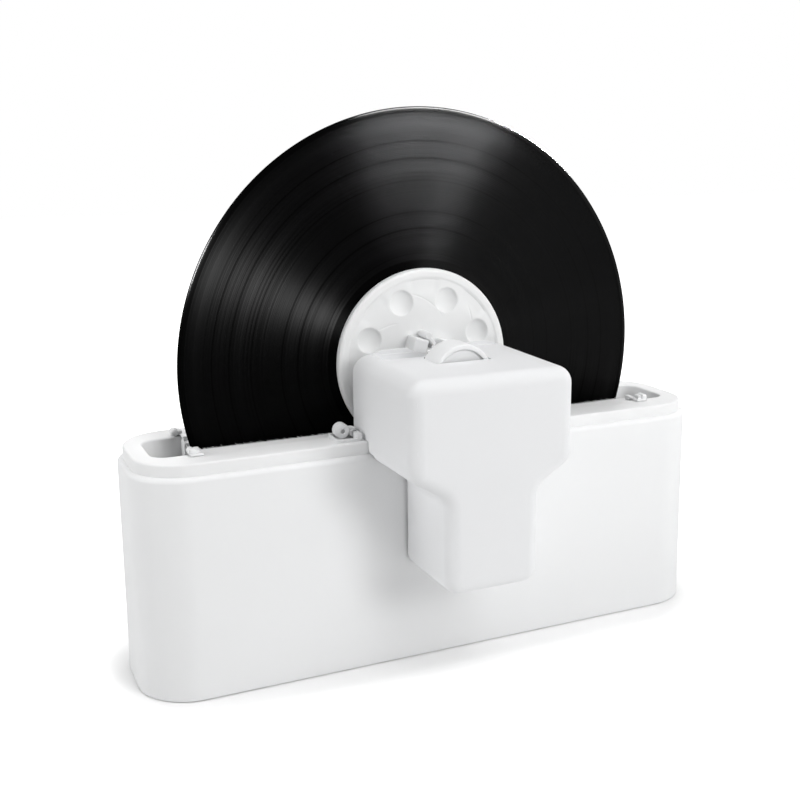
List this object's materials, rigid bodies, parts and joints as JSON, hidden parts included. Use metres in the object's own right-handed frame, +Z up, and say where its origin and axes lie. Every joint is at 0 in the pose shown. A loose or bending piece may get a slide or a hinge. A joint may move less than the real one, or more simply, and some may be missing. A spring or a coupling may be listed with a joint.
{
  "type": "record cleaning machine",
  "caption": "Long narrow white water bath with brush bars in its mouth, and a battery drive unit hooked over the rim that turns a record clamped upright between two label discs.",
  "frame": {"origin": "centre of the whole machine's footprint, at the table", "axes": "+X along the bath to the right, +Y from the front to the back, +Z up"},
  "size_m": [0.3726, 0.144, 0.3265],
  "materials": {
    "bath_white": "fine satin",
    "housing_white": "fine satin",
    "part_white": "satin",
    "bristle_white": "soft",
    "record_black": "grooved, glossy",
    "foot_rubber": "matte",
    "seal_rubber": "matte",
    "steel": "brushed",
    "bush_brass": "turned",
    "frame_grey": "moulded",
    "gear_white": "moulded",
    "motor_steel": "rolled can",
    "holder_black": "moulded",
    "cell_wrap": "plain wrap",
    "board_green": "lacquered",
    "switch_black": "moulded"
  },
  "bodies": {
    "bath": {"casing": "bath_white", "trough": "bath_white", "rubber_feet": "foot_rubber", "basin_screws": "steel", "left_roller_bracket": "part_white", "right_roller_bracket": "part_white"},
    "front_brush": {"front_brush_bar": "part_white", "front_left_bristles": "bristle_white", "front_right_bristles": "bristle_white"},
    "rear_brush": {"rear_brush_bar": "part_white", "rear_left_bristles": "bristle_white", "rear_right_bristles": "bristle_white"},
    "left_guide_roller": {"left_guide_roller": "part_white"},
    "right_guide_roller": {"right_guide_roller": "part_white"},
    "left_small_roller": {"left_small_roller": "part_white"},
    "right_small_roller": {"right_small_roller": "part_white"},
    "drive_unit": {"drive_housing": "housing_white", "back_cover": "housing_white", "cover_screws": "steel", "gearbox_frame": "frame_grey", "frame_screws": "steel", "gear_motor": "motor_steel", "idler_axle": "steel", "front_bush": "bush_brass", "rear_bush": "bush_brass", "battery_holder": "holder_black", "battery_cells": "cell_wrap", "upper_contacts": "steel", "door_hinge_pin": "steel", "circuit_board": "board_green", "button_switch": "switch_black"},
    "motor_pinion": {"motor_pinion": "steel"},
    "idler": {"idler_gear": "gear_white"},
    "spindle": {"spindle_shaft": "steel", "thumb_wheel": "part_white", "output_gear": "frame_grey", "drive_hub": "part_white", "front_label_disc": "part_white", "front_label_seal": "seal_rubber", "vinyl_record": "record_black"},
    "rear_clamp": {"rear_label_disc": "part_white", "rear_label_seal": "seal_rubber"},
    "clamp_nut": {"clamp_nut": "part_white"},
    "power_button": {"power_button": "part_white"},
    "battery_door": {"battery_door": "housing_white", "door_contacts": "steel"}
  },
  "joints": [
    {"name": "front_brush_lift", "type": "slide", "parent": "bath", "child": "front_brush", "axis": [0, 0, 1], "range_m": [0, 0.018]},
    {"name": "rear_brush_lift", "type": "slide", "parent": "bath", "child": "rear_brush", "axis": [0, 0, 1], "range_m": [0, 0.018]},
    {"name": "left_guide_roll", "type": "hinge", "parent": "bath", "child": "left_guide_roller", "pos_m": [-0.0626, 0.00298, 0.1429], "axis": [0, 1, 0], "continuous": true},
    {"name": "right_guide_roll", "type": "hinge", "parent": "bath", "child": "right_guide_roller", "pos_m": [0.0626, 0.00298, 0.1429], "axis": [0, 1, 0], "continuous": true},
    {"name": "left_small_roll", "type": "hinge", "parent": "bath", "child": "left_small_roller", "pos_m": [-0.0554, 0.00298, 0.1414], "axis": [0, 1, 0], "continuous": true},
    {"name": "right_small_roll", "type": "hinge", "parent": "bath", "child": "right_small_roller", "pos_m": [0.0554, 0.00298, 0.1414], "axis": [0, 1, 0], "continuous": true},
    {"name": "drive_unit_lift", "type": "slide", "parent": "bath", "child": "drive_unit", "axis": [0, 0, 1], "range_m": [0, 0.06]},
    {"name": "spindle_spin", "type": "hinge", "parent": "drive_unit", "child": "spindle", "pos_m": [0, -0.02202, 0.1757], "axis": [0, 1, 0], "continuous": true},
    {"name": "idler_spin", "type": "hinge", "parent": "drive_unit", "child": "idler", "pos_m": [0, -0.02202, 0.1537], "axis": [0, 1, 0], "continuous": true},
    {"name": "motor_pinion_spin", "type": "hinge", "parent": "drive_unit", "child": "motor_pinion", "pos_m": [0, -0.04002, 0.1329], "axis": [0, 1, 0], "continuous": true},
    {"name": "rear_clamp_slide", "type": "slide", "parent": "spindle", "child": "rear_clamp", "axis": [0, 1, 0], "range_m": [0, 0.0025]},
    {"name": "clamp_nut_turn", "type": "hinge", "parent": "rear_clamp", "child": "clamp_nut", "pos_m": [0, 0.03798, 0.1757], "axis": [0, 1, 0], "range_deg": [0, 720]},
    {"name": "power_button_press", "type": "slide", "parent": "drive_unit", "child": "power_button", "axis": [-1, 0, 0], "range_m": [0, 0.0015], "stiffness_N_per_m": 400},
    {"name": "battery_door_swing", "type": "hinge", "parent": "drive_unit", "child": "battery_door", "pos_m": [0, -0.02923, 0.062], "axis": [1, 0, 0], "range_deg": [0, 90]}
  ],
  "couplings": [
    {"joint": "idler_spin", "follows": "spindle_spin", "ratio": -2.1429},
    {"joint": "motor_pinion_spin", "follows": "spindle_spin", "ratio": 7.1429},
    {"joint": "clamp_nut_turn", "follows": "rear_clamp_slide", "rad_per_m": 5026.5}
  ]
}
